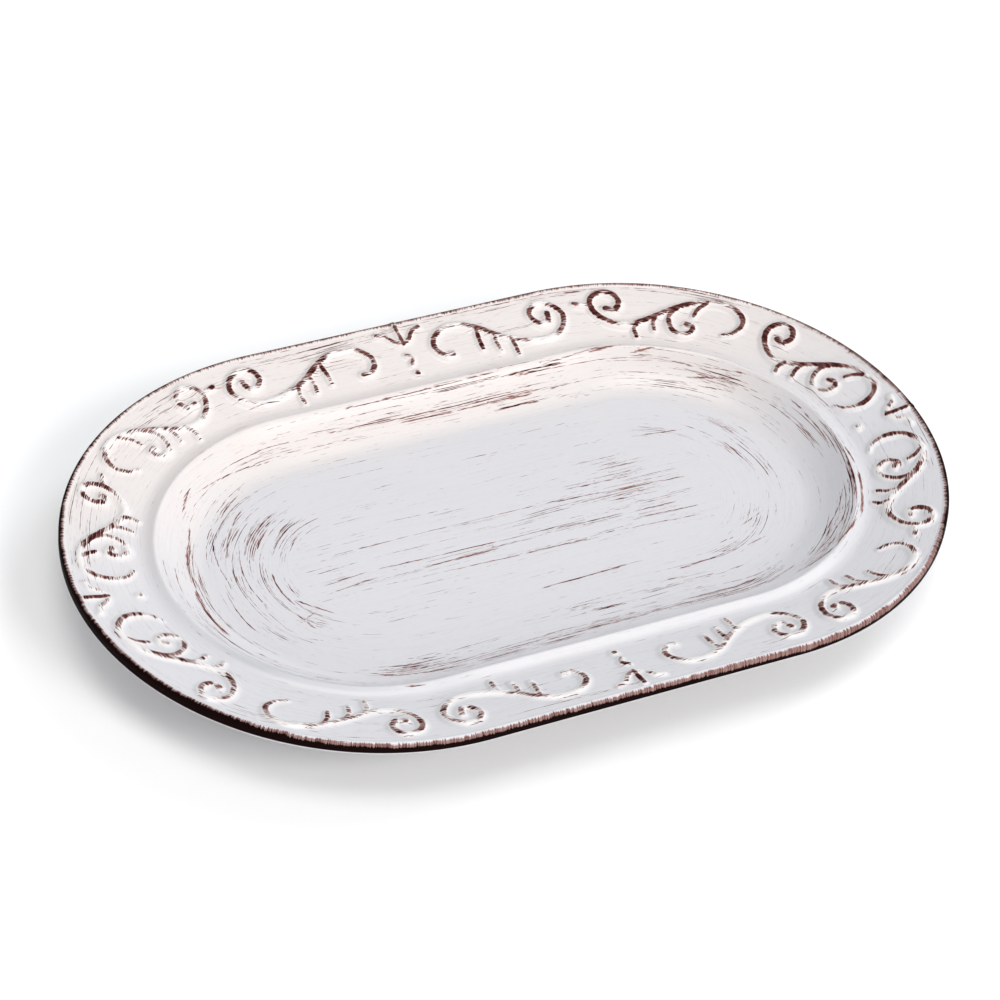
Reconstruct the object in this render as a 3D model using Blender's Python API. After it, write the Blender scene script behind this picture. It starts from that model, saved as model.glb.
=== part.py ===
"""Oval serving platter with a broad ornamented rim: shell, foot ring, brown lip band and luted relief sprigs.

Metres, +Z up. The origin is at the middle of the footprint, on the surface that the platter stands on, with
the long axis along X. Two coordinates describe a place on the rim: its inset, the distance inwards from the
outer edge, and its run, the distance along the outer edge.
"""

from math import cos, hypot, pi, sin

import bmesh
import bpy
from mathutils import Vector

MM = 0.001

# The outline is a racetrack: two straight sides joined by half circles.
HALF_LENGTH = 210 * MM
HALF_WIDTH = 135 * MM
HALF_STRAIGHT = HALF_LENGTH - HALF_WIDTH
QUARTER_RUN = HALF_STRAIGHT + HALF_WIDTH * pi / 2
HALF_CIRCLE_STEPS = 28
STRAIGHT_STEPS = 4

# Heights above the table, and insets from the outer edge, along the section of the shell.
LIP_TOP = 31 * MM
LIP_THICKNESS = 6 * MM
LIP_ROUND = 2 * MM
RIM_LOW = 23 * MM
RIM_LOW_INSET = 33 * MM
VERGE_TOP = 24.2 * MM
VERGE_INSET = 37.6 * MM
FLOOR_TOP = 11.5 * MM
FLOOR_INSET = 66 * MM
FLOOR_CAP_INSET = 100 * MM
UNDER_RIM = 17.4 * MM
UNDER_RIM_INSET = 34 * MM
UNDER_FLOOR = 5.5 * MM
UNDER_FLOOR_INSET = 61 * MM
COVE_STEPS = 7

# The band is a skin round the lip, set into a rebate of the shell.
BAND_REACH = 3.4 * MM
BAND_SKIN = 1.0 * MM
GAP = 0.3 * MM

FOOT_INSET = 62.5 * MM
FOOT_WIDTH = 5 * MM
FOOT_TAPER = 0.8 * MM

# The relief: a rounded ribbon, with leaves that hang from it and taper.
RIBBON_HALF_WIDTH = 2.2 * MM
RIBBON_HEIGHT = 1.3 * MM
LEAF_HALF_WIDTH = 1.7 * MM
LEAF_HEIGHT = 1.1 * MM
LEAF_LIFT = 0.2 * MM  # keeps the under faces of strokes that are fused together apart
SHOULDER = 0.58  # where the ribbon's flat top ends, as a part of its half width
TIP = 0.45  # width of a ribbon's end, as a part of its width
RIBBON_STEP = 3.6 * MM
DOT_RADIUS = 2.4 * MM

WHITE_GLAZE = ((0.80, 0.82, 0.84), 0.25)
SPRIG_GLAZE = ((0.72, 0.68, 0.67), 0.28)
BROWN_GLAZE = ((0.045, 0.016, 0.014), 0.3)
BARE_CLAY = ((0.62, 0.55, 0.47), 0.8)

# Each scroll's drawing, in millimetres: (along, inset) on a ribbon whose ends are 0 and SPAN along.
SPAN = 80
END_SCROLL = {
    "ribbon": [
        (10, 31), (5.5, 28.6), (2.8, 24.4), (2.2, 19.2), (4.2, 13.8), (8.6, 9.8), (14, 8.2), (20.5, 8.7),
        (27.5, 10.6), (34, 14.2), (40.5, 18.8), (47.5, 23.4), (55, 26.8), (63, 28.2), (70, 26.2),
        (75.4, 21.4), (77.6, 15.2), (75.4, 9.6), (70.2, 7.2), (65.4, 9.2), (63.6, 13.6), (66, 17.6), (70, 17),
    ],
    "leaves": [
        [(18.5, 9.4), (21.6, 12), (24, 16)],
        [(47, 23.4), (48.4, 28), (47.2, 32.4)],
        [(57, 27.6), (59, 31), (58, 34.2)],
    ],
    "hanging_curl": [
        (32.5, 13.4), (37, 17.8), (38, 23.2), (35.4, 28.4), (30, 30.8), (24.6, 29.2), (22.2, 25), (24.6, 21.6),
        (28.4, 23),
    ],
}
SHOULDER_SCROLL = {
    "ribbon": [
        (9.6, 25.4), (4.8, 22.4), (2.2, 17), (4.4, 11.6), (10, 8.2), (17, 7.6), (24, 9.2), (31, 12.2),
        (38, 16.2), (45, 20.6), (52, 24.4), (60, 26.8), (68, 25.8), (74.8, 21.2), (77.7, 15), (75.6, 9.6),
        (70, 7.4), (65, 9.6), (63.4, 14), (66, 18), (70.2, 17.4),
    ],
    "leaves": [
        [(21.5, 9.2), (25, 13.6), (26.4, 18)],
        [(45, 20.6), (46.6, 25), (45.8, 29.6)],
        [(54.4, 25.4), (57, 29.4), (56, 33.8)],
    ],
    "hanging_curl": [
        (33, 13.4), (37.6, 18), (38.6, 23.4), (36, 28.6), (31, 30.4), (26.4, 28.4), (25.8, 24.8), (29.2, 24),
    ],
}
FRONT_SHOULDER_SCROLL = {
    "ribbon": SHOULDER_SCROLL["ribbon"],
    "leaves": [
        [(31, 12.4), (32.4, 17.4), (31.6, 22.4)],
        [(41, 18.2), (42.6, 23.6), (41.6, 28.6)],
        [(50, 23.6), (51.8, 28.6), (50.6, 33.4)],
    ],
    "hanging_curl": None,
}
SIDE_SCROLL = {
    "ribbon": [
        (11, 15.8), (12.8, 20.2), (17.6, 20.2), (20.8, 15.6), (18.6, 11), (12.6, 9.2), (6, 12), (2.2, 17.6),
        (4.2, 23.4), (10, 27.8), (18, 29.6), (27.6, 28.4), (36.2, 25), (43.6, 20.4), (50, 15.4), (57.6, 11.6),
        (65, 10.6), (72, 12.6), (76.8, 17.2), (77.2, 22.4), (73.6, 26.4), (69.8, 26.4),
    ],
    "leaves": [
        [(36.6, 24.8), (36, 29.8), (36.4, 34.2)],
        [(44, 20.2), (44.8, 25.6), (44.4, 30)],
        [(51.6, 14.6), (52.8, 21), (53.2, 27)],
    ],
    "hanging_curl": None,
}
SPROUT = [(76.4, 15.8), (81, 14), (85.4, 12.8)]

# The sprigs are set by hand: where each ribbon starts and how long it is, in millimetres along its quarter,
# and whether a sprout grows from its curl. A quarter runs from the middle of an end to the middle of a side.
QUARTERS = {
    "right_back": [
        ("end", END_SCROLL, 7.5, 80.5, False),
        ("shoulder", SHOULDER_SCROLL, 97, 91, True),
        ("side", SIDE_SCROLL, 200.5, 75, False),
    ],
    "left_back": [
        ("end", END_SCROLL, 13.5, 75, True),
        ("shoulder", SHOULDER_SCROLL, 99.5, 81.5, True),
        ("side", SIDE_SCROLL, 191.5, 80, False),
    ],
    "left_front": [
        ("end", END_SCROLL, 11.5, 80.5, False),
        ("shoulder", FRONT_SHOULDER_SCROLL, 105.5, 80.5, False),
        ("side", SIDE_SCROLL, 194, 74, False),
    ],
    "right_front": [
        ("end", END_SCROLL, 17.5, 80.5, True),
        ("shoulder", FRONT_SHOULDER_SCROLL, 110.5, 78, False),
        ("side", SIDE_SCROLL, 197.5, 73, False),
    ],
}

# A palmette, in millimetres across and inset: a middle petal and two that bend outwards.
PETALS = [
    [(0, 15), (0, 9.6), (0, 4.2)],
    [(0, 15), (-4, 12.4), (-7, 8.6), (-11, 7)],
    [(0, 15), (4, 12.4), (7, 8.6), (11, 7)],
]
STROKE = [(1.6, 20.8), (-1, 23.2), (0.6, 26.8)]

# Which quarter each palmette is placed from, the run of its axis in that quarter, the dot's inset, and
# whether it has a stroke too.
PALMETTES = {
    "right": ("right_front", 5, 29.5, False),
    "left": ("left_back", 2, 29.5, False),
    "back": ("right_back", QUARTER_RUN / MM, 32, True),
    "front": ("left_front", QUARTER_RUN / MM - 0.5, 32, True),
}


def clear_scene():
    for obj in list(bpy.data.objects):
        bpy.data.objects.remove(obj, do_unlink=True)


def finish(name, colour, roughness):
    material = bpy.data.materials.new(f"{name} finish")
    material.use_nodes = True
    shader = material.node_tree.nodes["Principled BSDF"]
    shader.inputs["Base Color"].default_value = (*colour, 1)
    shader.inputs["Roughness"].default_value = roughness
    shader.inputs["Metallic"].default_value = 0
    return material


def add_object(name, bm, look):
    """Turns the bmesh into a named object with its own finish, its faces outwards and its rounds smooth."""
    bmesh.ops.recalc_face_normals(bm, faces=bm.faces)
    mesh = bpy.data.meshes.new(name)
    bm.to_mesh(mesh)
    bm.free()
    mesh.materials.append(finish(name, *look))
    mesh.shade_smooth()
    mesh.set_sharp_from_angle(angle=0.6)
    obj = bpy.data.objects.new(name, mesh)
    bpy.context.scene.collection.objects.link(obj)
    return obj


def outline(inset):
    """Points of the racetrack at this inset, counter-clockwise from the near end of the right half circle."""
    radius = HALF_WIDTH - inset
    points = []
    for side in (1, -1):
        for step in range(HALF_CIRCLE_STEPS + 1):
            turn = pi * step / HALF_CIRCLE_STEPS - side * pi / 2
            points.append((side * HALF_STRAIGHT + radius * cos(turn), radius * sin(turn)))
        for step in range(1, STRAIGHT_STEPS):
            along = 1 - 2 * step / STRAIGHT_STEPS
            points.append((side * HALF_STRAIGHT * along, side * radius))
    return points


def add_ring(bm, inset, height):
    return [bm.verts.new((x, y, height)) for x, y in outline(inset)]


def join_rings(bm, first, second):
    count = len(first)
    for index in range(count):
        after = (index + 1) % count
        bm.faces.new((first[index], first[after], second[after], second[index]))


def arc(centre, radius, start, end, steps):
    """Points (inset, height) of an arc; the angles are in degrees, 0 towards the middle of the platter."""
    points = []
    for step in range(steps + 1):
        turn = (start + (end - start) * step / steps) * pi / 180
        points.append((centre[0] + radius * cos(turn), centre[1] + radius * sin(turn)))
    return points


def cove(start, end, steps):
    """Points (inset, height) of a soft S-curve from one level to another, its ends left out."""
    points = []
    for step in range(1, steps):
        part = step / steps
        fall = 0.5 - 0.5 * cos(pi * part)
        points.append((start[0] + (end[0] - start[0]) * part, start[1] + (end[1] - start[1]) * fall))
    return points


def rim_line(inset):
    """Height of the rim's upper face, which falls evenly from the lip to its lowest line."""
    return LIP_TOP + (RIM_LOW - LIP_TOP) * inset / RIM_LOW_INSET


def upper_section():
    """The shell's upper face, from the rebate for the band to the floor."""
    verge = (VERGE_INSET, VERGE_TOP)
    floor = (FLOOR_INSET, FLOOR_TOP)
    shelf = BAND_REACH + GAP
    points = [(shelf, rim_line(shelf)), (RIM_LOW_INSET - 2 * MM, rim_line(RIM_LOW_INSET - 2 * MM))]
    points += cove((RIM_LOW_INSET - 1 * MM, RIM_LOW), verge, 4)
    points += [verge]
    points += cove(verge, floor, COVE_STEPS)
    points += [floor, (FLOOR_CAP_INSET, FLOOR_TOP)]
    return points


def lower_section():
    """The shell's under face, from the floor to the rebate for the band."""
    shelf = BAND_REACH + GAP
    points = [(FLOOR_CAP_INSET, UNDER_FLOOR), (UNDER_FLOOR_INSET, UNDER_FLOOR)]
    points += cove((UNDER_FLOOR_INSET, UNDER_FLOOR), (UNDER_RIM_INSET, UNDER_RIM), COVE_STEPS)
    points += [(UNDER_RIM_INSET, UNDER_RIM), (shelf, LIP_TOP - LIP_THICKNESS)]
    return points


def lip_section(skin, reach):
    """The round nose of the lip, under a skin of this thickness, from its under face to its upper face."""
    middle = LIP_TOP - LIP_THICKNESS / 2
    flat = LIP_THICKNESS / 2 - LIP_ROUND
    radius = LIP_ROUND - skin * 0.6
    centre = skin + radius
    below = arc((centre, middle - flat - LIP_ROUND + skin + radius), radius, 270, 180, 3)
    above = arc((centre, middle + flat + LIP_ROUND - skin - radius), radius, 180, 90, 3)
    start = (reach, LIP_TOP - LIP_THICKNESS + skin)
    end = (reach, rim_line(reach) - skin)
    return [start] + below + above + [end]


def shell():
    bm = bmesh.new()
    section = upper_section() + lower_section() + lip_section(BAND_SKIN + GAP, BAND_REACH + GAP)
    rings = [add_ring(bm, inset, height) for inset, height in section]
    floor = len(upper_section()) - 1
    for index, ring in enumerate(rings):
        if index != floor:
            join_rings(bm, ring, rings[(index + 1) % len(rings)])
    bm.faces.new(rings[floor])
    bm.faces.new(reversed(rings[floor + 1]))
    return add_object("platter_body", bm, WHITE_GLAZE)


def closed_ring(name, section, look):
    """A ring with this closed section, all round the racetrack."""
    bm = bmesh.new()
    rings = [add_ring(bm, inset, height) for inset, height in section]
    for index, ring in enumerate(rings):
        join_rings(bm, ring, rings[(index + 1) % len(rings)])
    return add_object(name, bm, look)


def edge_band():
    outside = lip_section(0, BAND_REACH)
    inside = lip_section(BAND_SKIN, BAND_REACH)
    return closed_ring("edge_band", outside + inside[::-1], BROWN_GLAZE)


def foot_ring():
    top = UNDER_FLOOR - GAP
    outer = FOOT_INSET
    inner = FOOT_INSET + FOOT_WIDTH
    section = [
        (outer, top),
        (outer + FOOT_TAPER, FOOT_TAPER),
        (outer + 1.4 * FOOT_TAPER, 0),
        (inner - 1.4 * FOOT_TAPER, 0),
        (inner - FOOT_TAPER, FOOT_TAPER),
        (inner, top),
    ]
    return closed_ring("foot_ring", section, BARE_CLAY)


def upper_height(inset):
    """Height of the shell's upper face at this inset."""
    section = upper_section()
    for (near, near_height), (far, far_height) in zip(section, section[1:]):
        if near <= inset <= far:
            return near_height + (far_height - near_height) * (inset - near) / (far - near)
    return rim_line(inset)


def on_rim(quarter, along, inset):
    """Plan position of a point of a quarter, from its run along the edge and its inset, in millimetres."""
    run = along * MM
    radius = HALF_WIDTH - inset * MM
    curved = HALF_WIDTH * pi / 2
    if run < curved:
        x = HALF_STRAIGHT + radius * cos(run / HALF_WIDTH)
        y = radius * sin(run / HALF_WIDTH)
    else:
        x = HALF_STRAIGHT - (run - curved)
        y = radius
    side = -1 if quarter.startswith("left") else 1
    depth = -1 if quarter.endswith("front") else 1
    return Vector((side * x, depth * y, 0))


def smooth_line(points, step):
    """Points a step apart on a Catmull-Rom curve through the given ones."""
    ends = [2 * points[0] - points[1]] + points + [2 * points[-1] - points[-2]]
    fine = []
    parts = 12
    for a, b, c, d in zip(ends, ends[1:], ends[2:], ends[3:]):
        for part in range(parts):
            t = part / parts
            fine.append(
                0.5 * (2 * b + (c - a) * t + (2 * a - 5 * b + 4 * c - d) * t**2 + (3 * b - a - 3 * c + d) * t**3)
            )
    fine.append(points[-1])
    length = sum((b - a).length for a, b in zip(fine, fine[1:]))
    count = max(2, round(length / step))
    line = [fine[0]]
    passed = 0
    for a, b in zip(fine, fine[1:]):
        passed += (b - a).length
        if passed >= length * len(line) / count and len(line) < count:
            line.append(b)
    line.append(fine[-1])
    return line


def ribbon(points, half_width, height, lift):
    """A rounded ribbon that follows the line over the rim, with narrower tips, as a closed bmesh."""
    bm = bmesh.new()
    line = smooth_line(points, RIBBON_STEP)
    last = len(line) - 1
    sections = []
    for index, place in enumerate(line):
        heading = (line[min(index + 1, last)] - line[max(index - 1, 0)]).normalized()
        across = Vector((-heading.y, heading.x, 0))
        size = TIP if index in (0, last) else 1
        section = []
        for offset, rise in ((-1, 0), (1, 0), (SHOULDER, 1), (-SHOULDER, 1)):
            corner = place + across * half_width * size * offset
            inset = HALF_WIDTH - hypot(max(abs(corner.x) - HALF_STRAIGHT, 0), corner.y)
            corner.z = upper_height(inset) + GAP + lift + height * rise * (0.5 + size / 2)
            section.append(bm.verts.new(corner))
        sections.append(section)
    for near, far in zip(sections, sections[1:]):
        for corner in range(4):
            after = (corner + 1) % 4
            bm.faces.new((near[corner], near[after], far[after], far[corner]))
    bm.faces.new(reversed(sections[0]))
    bm.faces.new(sections[-1])
    return bm


def relief(name, strokes):
    """One sprig: its strokes, each (points, half width, height, lift), fused into one body."""
    first, *others = strokes
    body = add_object(name, ribbon(*first), SPRIG_GLAZE)
    for number, stroke in enumerate(others):
        helper = add_object(f"{name}_leaf_{number}", ribbon(*stroke), SPRIG_GLAZE)
        helper.hide_render = True
        helper.display_type = "WIRE"
        union = body.modifiers.new(f"fuse leaf {number}", "BOOLEAN")
        union.operation = "UNION"
        union.solver = "EXACT"
        union.object = helper
    return body


def scroll(quarter, place, drawing, start, span, has_sprout):
    def line(points):
        return [on_rim(quarter, start + along * span / SPAN, inset) for along, inset in points]

    strokes = [(line(drawing["ribbon"]), RIBBON_HALF_WIDTH, RIBBON_HEIGHT, 0)]
    if drawing["hanging_curl"]:
        strokes.append((line(drawing["hanging_curl"]), RIBBON_HALF_WIDTH, RIBBON_HEIGHT - LEAF_LIFT / 2, LEAF_LIFT))
    leaves = drawing["leaves"] + ([SPROUT] if has_sprout else [])
    for leaf in leaves:
        strokes.append((line(leaf), LEAF_HALF_WIDTH, LEAF_HEIGHT, LEAF_LIFT * 1.5))
    relief(f"scroll_{quarter}_{place}", strokes)


def palmette(place, quarter, axis, dot_inset, has_stroke):
    def line(points):
        placed = []
        for across, inset in points:
            along = axis + across
            if along * MM > QUARTER_RUN:
                placed.append(on_rim(opposite_end(quarter), 2 * QUARTER_RUN / MM - along, inset))
            elif along < 0:
                placed.append(on_rim(opposite_side(quarter), -along, inset))
            else:
                placed.append(on_rim(quarter, along, inset))
        return placed

    strokes = []
    for number, petal in enumerate(PETALS):
        strokes.append((line(petal), LEAF_HALF_WIDTH, LEAF_HEIGHT + 0.1 * MM * number, LEAF_LIFT * number))
    relief(f"palmette_{place}", strokes)
    if has_stroke:
        relief(f"drop_stroke_{place}", [(line(STROKE), LEAF_HALF_WIDTH, LEAF_HEIGHT, 0)])
    dot(f"drop_dot_{place}", line([(0, dot_inset)])[0])


def opposite_end(quarter):
    side, depth = quarter.split("_")
    return f"{'right' if side == 'left' else 'left'}_{depth}"


def opposite_side(quarter):
    side, depth = quarter.split("_")
    return f"{side}_{'front' if depth == 'back' else 'back'}"


def dot(name, place):
    """A low round boss, flat underneath and level with the rim's slope."""
    bm = bmesh.new()
    rings = []
    sides = 12
    for radius, rise in ((DOT_RADIUS, 0), (DOT_RADIUS * 0.8, LEAF_HEIGHT * 0.7), (DOT_RADIUS * 0.4, LEAF_HEIGHT)):
        ring = []
        for side in range(sides):
            turn = 2 * pi * side / sides
            corner = place + Vector((radius * cos(turn), radius * sin(turn), 0))
            inset = HALF_WIDTH - hypot(max(abs(corner.x) - HALF_STRAIGHT, 0), corner.y)
            corner.z = upper_height(inset) + GAP + rise
            ring.append(bm.verts.new(corner))
        rings.append(ring)
    for near, far in zip(rings, rings[1:]):
        join_rings(bm, near, far)
    bm.faces.new(reversed(rings[0]))
    bm.faces.new(rings[-1])
    add_object(name, bm, SPRIG_GLAZE)


def main():
    clear_scene()
    shell()
    foot_ring()
    edge_band()
    for quarter, scrolls in QUARTERS.items():
        for place, drawing, start, span, has_sprout in scrolls:
            scroll(quarter, place, drawing, start, span, has_sprout)
    for place, (quarter, axis, dot_inset, has_stroke) in PALMETTES.items():
        palmette(place, quarter, axis, dot_inset, has_stroke)


main()
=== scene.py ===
"""Looks of the oval serving platter: white glaze brushed over brown, soft scroll relief and a brown lip.

The drawing of the object is in millimetres and meshes are made in metres. Two coordinates describe a place on
the platter: its inset, the distance inwards from the outer edge, and its run, the distance along the edge,
counter-clockwise from the middle of the right end. The glaze was brushed along the run.
"""

from math import cos, pi, radians, sin

import bmesh
import bpy
import numpy as np
from mathutils import Matrix, Vector


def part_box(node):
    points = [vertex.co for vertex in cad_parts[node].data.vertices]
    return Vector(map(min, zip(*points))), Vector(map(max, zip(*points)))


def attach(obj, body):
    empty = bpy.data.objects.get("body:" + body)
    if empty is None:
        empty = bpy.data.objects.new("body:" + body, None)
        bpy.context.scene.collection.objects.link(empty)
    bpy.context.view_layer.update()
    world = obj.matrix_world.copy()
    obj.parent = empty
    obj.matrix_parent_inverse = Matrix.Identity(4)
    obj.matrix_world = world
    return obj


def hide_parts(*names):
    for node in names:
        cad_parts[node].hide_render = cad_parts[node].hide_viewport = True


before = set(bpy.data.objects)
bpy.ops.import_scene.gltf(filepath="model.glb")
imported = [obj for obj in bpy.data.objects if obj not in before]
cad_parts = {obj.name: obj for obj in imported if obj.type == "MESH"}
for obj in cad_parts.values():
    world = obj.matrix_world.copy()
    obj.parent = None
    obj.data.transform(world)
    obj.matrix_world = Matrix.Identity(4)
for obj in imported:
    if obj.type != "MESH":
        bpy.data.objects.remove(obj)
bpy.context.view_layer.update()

MM = 0.001

# ---------------- sizes, taken from the frame

BODY = "root"
BAND_LOW, BAND_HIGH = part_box("edge_band")
FOOT_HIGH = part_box("foot_ring")[1]
HALF_LENGTH = BAND_HIGH.x / MM
HALF_WIDTH = BAND_HIGH.y / MM
HALF_STRAIGHT = HALF_LENGTH - HALF_WIDTH
CURVE = HALF_WIDTH * pi / 2
SIDE = 2 * HALF_STRAIGHT
EDGE_RUN = 2 * SIDE + 4 * CURVE
QUARTER = EDGE_RUN / 4

LIP_TOP = BAND_HIGH.z / MM
LIP_SAG = 0.7
LIP_LOW = BAND_LOW.z / MM - LIP_SAG
FOOT_TOP = FOOT_HIGH.z / MM
FOOT_OUTER = HALF_WIDTH - FOOT_HIGH.y / MM

# ---------------- section of the shell: (inset, height)

LIP_ROUND = 2.0
# How much further it is round the nose, from its middle to the upper face, than straight inwards.
NOSE_WRAP = (pi / 2 - 1) * LIP_ROUND + (LIP_TOP - LIP_LOW) / 2 - LIP_ROUND
BAND_REACH = 3.4
BAND_SKIN = 0.5
SHELL_SKIN = 0.6
SKIN_EASE = 0.6
RIM_SLOPE = 8 / 33
FLANK_START = 33.5
CREST = (42.4, 25.3)
CREST_ROUND = 1.6
FLOOR = (66.0, 11.5)
WALL_EASE = 1.85
FLOOR_CROWN = 0.35
UNDER_FLOOR = (61.0, 5.5)
UNDER_RIM = (34.0, 17.4)
FOOT_WIDTH = 5.0
FOOT_ROUND = 0.9

# Rings of the shell's mesh: (first inset, last inset, number of rings).
UPPER_RINGS = [
    (BAND_REACH, 33.0, 24), (33.8, 40.2, 12), (40.6, 45.0, 13), (45.6, FLOOR[0], 32),
    (FLOOR[0] + 0.94, HALF_WIDTH, 74),
]
UNDER_RINGS = [
    (HALF_WIDTH, UNDER_FLOOR[0] + 1, 7), (UNDER_FLOOR[0], UNDER_RIM[0], 14),
    (UNDER_RIM[0] - 3, BAND_REACH, 9),
]
COLUMNS = 480
BAND_STEP = 0.5
SHARP_ANGLE = radians(50)


def smooth(value):
    value = np.clip(value, 0, 1)
    return value * value * (3 - 2 * value)


def rim_line(inset):
    return LIP_TOP - RIM_SLOPE * inset


def rounded_min(first, second, rounding):
    return (first + second - np.sqrt((first - second) ** 2 + rounding**2)) / 2


def upper_height(inset):
    """Height of the upper face: rim, raised verge, coved wall and a floor that rises a little."""
    inset = np.asarray(inset, float)
    climb = np.maximum((inset - FLANK_START) / (CREST[0] - FLANK_START), 0)
    outside = rim_line(inset) + (CREST[1] - rim_line(CREST[0])) * climb**2
    to_floor = np.maximum((FLOOR[0] - inset) / (FLOOR[0] - CREST[0]), 0)
    wall = FLOOR[1] + (CREST[1] - FLOOR[1]) * to_floor**WALL_EASE
    floor = FLOOR_CROWN * smooth((inset - FLOOR[0]) / (HALF_WIDTH - FLOOR[0]))
    return rounded_min(outside, wall, CREST_ROUND) + floor


def under_height(inset):
    """Height of the under face, from the lip to the floor."""
    inset = np.asarray(inset, float)
    rim = LIP_LOW + (UNDER_RIM[1] - LIP_LOW) * inset / UNDER_RIM[0]
    part = np.clip((inset - UNDER_RIM[0]) / (UNDER_FLOOR[0] - UNDER_RIM[0]), 0, 1)
    cove = UNDER_RIM[1] + (UNDER_FLOOR[1] - UNDER_RIM[1]) * (0.5 - 0.5 * np.cos(pi * part))
    return np.where(inset < UNDER_RIM[0], rim, cove)


# ---------------- the racetrack


def place(run, inset):
    """Plan position of (run along the outer edge, inset)."""
    run = np.asarray(run, float) % EDGE_RUN
    radius = HALF_WIDTH - np.asarray(inset, float)
    past_back = run >= CURVE + SIDE
    past_front = run >= 3 * CURVE + 2 * SIDE
    turn = (run - SIDE * past_back - SIDE * past_front) / HALF_WIDTH
    middle = np.where(past_back & ~past_front, -HALF_STRAIGHT, HALF_STRAIGHT)
    x = middle + radius * np.cos(turn)
    y = radius * np.sin(turn)
    on_back = (run >= CURVE) & ~past_back
    x = np.where(on_back, HALF_STRAIGHT - (run - CURVE), x)
    y = np.where(on_back, radius, y)
    on_front = (run >= 3 * CURVE + SIDE) & ~past_front
    x = np.where(on_front, -HALF_STRAIGHT + (run - 3 * CURVE - SIDE), x)
    y = np.where(on_front, -radius, y)
    return x, y


def inset_of(x, y):
    return HALF_WIDTH - np.hypot(np.maximum(np.abs(x) - HALF_STRAIGHT, 0), y)


def run_of(x, y):
    """Run along the outer edge of the edge's point nearest to (x, y)."""
    round_right = np.arctan2(y, x - HALF_STRAIGHT) * HALF_WIDTH
    round_left = (np.arctan2(-y, -(x + HALF_STRAIGHT)) + pi) * HALF_WIDTH + SIDE
    run = np.where(x > HALF_STRAIGHT, round_right, np.where(x < -HALF_STRAIGHT, round_left, 0.0))
    beside = np.abs(x) <= HALF_STRAIGHT
    run = np.where(beside & (y >= 0), CURVE + HALF_STRAIGHT - x, run)
    run = np.where(beside & (y < 0), 3 * CURVE + SIDE + HALF_STRAIGHT + x, run)
    return run % EDGE_RUN


def ring_place(x, y):
    """(run along the ring through (x, y), length of that ring)."""
    inset = inset_of(x, y)
    run = run_of(x, y)
    shrink = (HALF_WIDTH - inset) / HALF_WIDTH
    starts = np.array([0, CURVE, CURVE + SIDE, 3 * CURVE + SIDE, 3 * CURVE + 2 * SIDE, EDGE_RUN])
    bent = (True, False, True, False, True)
    passed = np.zeros_like(run)
    for start, end, is_bent in zip(starts, starts[1:], bent):
        covered = np.clip(run - start, 0, end - start)
        passed = passed + covered * (shrink if is_bent else 1)
    return passed, 2 * SIDE + 2 * pi * (HALF_WIDTH - inset)


def round_places(part, length, third):
    """Seamless coordinates for marks that go round: two from the part of the way round, and a third."""
    radius = length / (2 * pi)
    return np.stack([radius * np.cos(2 * pi * part), radius * np.sin(2 * pi * part), third], -1)


# ---------------- wear: where the brown shows through

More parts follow.
